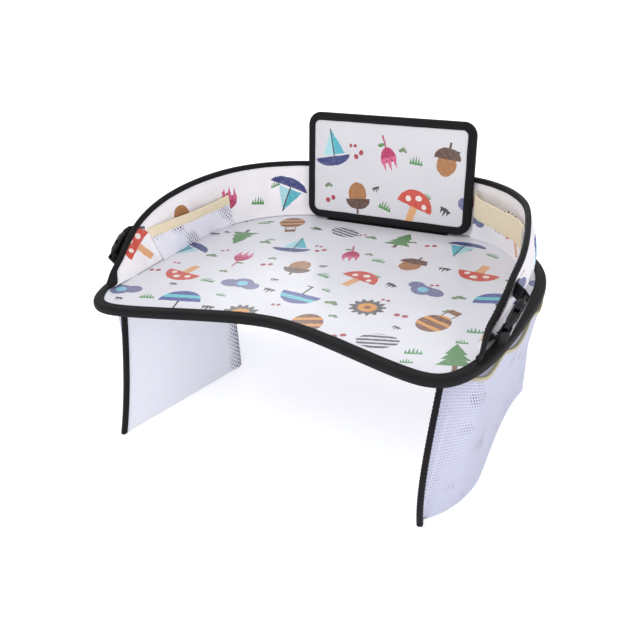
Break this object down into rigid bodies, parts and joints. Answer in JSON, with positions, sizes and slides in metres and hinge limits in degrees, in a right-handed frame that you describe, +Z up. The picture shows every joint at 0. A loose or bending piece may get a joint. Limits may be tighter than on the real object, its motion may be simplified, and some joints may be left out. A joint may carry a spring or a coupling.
{
  "type": "car seat tray table",
  "caption": "Padded play tray for a child's car seat, with a soft curved side wall, inner pockets, a leaning tablet panel and mesh pockets hanging at both sides.",
  "frame": {"origin": "bottom centre of the whole product, level with the floors of the mesh pockets", "axes": "+Z up from the tray's top, +Y towards the tray's back where the tablet panel leans, -Y towards the child, +X to the right as seen by the child"},
  "size_m": [0.4352, 0.3336, 0.2636],
  "materials": {
    "tray_bottom_cover": "plain woven fabric",
    "tray_board": "flat plastic board",
    "tray_foam": "soft foam sheet",
    "tray_top_cover": "printed fabric under a clear film",
    "tray_binding": "folded grosgrain tape",
    "wall_inner_cover": "printed woven fabric",
    "wall_core": "soft foam sheet",
    "wall_outer_cover": "printed woven fabric",
    "wall_binding": "folded grosgrain tape",
    "left_pocket": "printed woven fabric",
    "left_pocket_trim": "elastic band",
    "right_pocket": "printed woven fabric",
    "right_pocket_trim": "elastic band",
    "panel_front_cover": "printed fabric under a clear film",
    "panel_board": "flat plastic board",
    "panel_back_cover": "printed woven fabric",
    "panel_binding": "folded grosgrain tape",
    "panel_hook_strip": "hook tape",
    "wall_loop_strip": "loop tape",
    "panel_hinge_tape": "woven tape",
    "right_mesh_pocket": "open knitted mesh",
    "right_mesh_panel": "open knitted mesh",
    "right_mesh_pocket_trim": "elastic band",
    "right_skirt_binding": "folded grosgrain tape",
    "right_buckle_socket": "moulded, glossy",
    "right_buckle_plug": "moulded, glossy",
    "right_upper_strap": "woven webbing",
    "right_lower_strap": "woven webbing",
    "left_mesh_pocket": "open knitted mesh",
    "left_mesh_panel": "open knitted mesh",
    "left_mesh_pocket_trim": "elastic band",
    "left_skirt_binding": "folded grosgrain tape",
    "left_buckle_socket": "moulded, glossy",
    "left_buckle_plug": "moulded, glossy",
    "left_upper_strap": "woven webbing",
    "left_lower_strap": "woven webbing"
  },
  "bodies": {
    "base": {"tray_bottom_cover": "tray_bottom_cover", "tray_board": "tray_board", "tray_foam": "tray_foam", "tray_top_cover": "tray_top_cover", "tray_binding": "tray_binding", "wall_inner_cover": "wall_inner_cover", "wall_core": "wall_core", "wall_outer_cover": "wall_outer_cover", "wall_binding": "wall_binding", "left_pocket": "left_pocket", "left_pocket_trim": "left_pocket_trim", "right_pocket": "right_pocket", "right_pocket_trim": "right_pocket_trim", "wall_loop_strip": "wall_loop_strip", "panel_hinge_tape": "panel_hinge_tape", "right_mesh_pocket": "right_mesh_pocket", "right_mesh_panel": "right_mesh_panel", "right_mesh_pocket_trim": "right_mesh_pocket_trim", "right_skirt_binding": "right_skirt_binding", "right_buckle_socket": "right_buckle_socket", "right_lower_strap": "right_lower_strap", "left_mesh_pocket": "left_mesh_pocket", "left_mesh_panel": "left_mesh_panel", "left_mesh_pocket_trim": "left_mesh_pocket_trim", "left_skirt_binding": "left_skirt_binding", "left_buckle_socket": "left_buckle_socket", "left_lower_strap": "left_lower_strap"},
    "panel": {"panel_front_cover": "panel_front_cover", "panel_board": "panel_board", "panel_back_cover": "panel_back_cover", "panel_binding": "panel_binding", "panel_hook_strip": "panel_hook_strip"},
    "right_plug": {"right_buckle_plug": "right_buckle_plug", "right_upper_strap": "right_upper_strap"},
    "left_plug": {"left_buckle_plug": "left_buckle_plug", "left_upper_strap": "left_upper_strap"}
  },
  "joints": [
    {"name": "panel_fold", "type": "hinge", "parent": "base", "child": "panel", "pos_m": [0, 0.13025, 0.14386], "axis": [1, 0, 0], "range_deg": [0, 97]},
    {"name": "right_buckle_slide", "type": "slide", "parent": "base", "child": "right_plug", "axis": [0.1478, 0.891, 0.4293], "range_m": [0, 0.015]},
    {"name": "left_buckle_slide", "type": "slide", "parent": "base", "child": "left_plug", "axis": [-0.1478, 0.891, 0.4293], "range_m": [0, 0.015]}
  ]
}
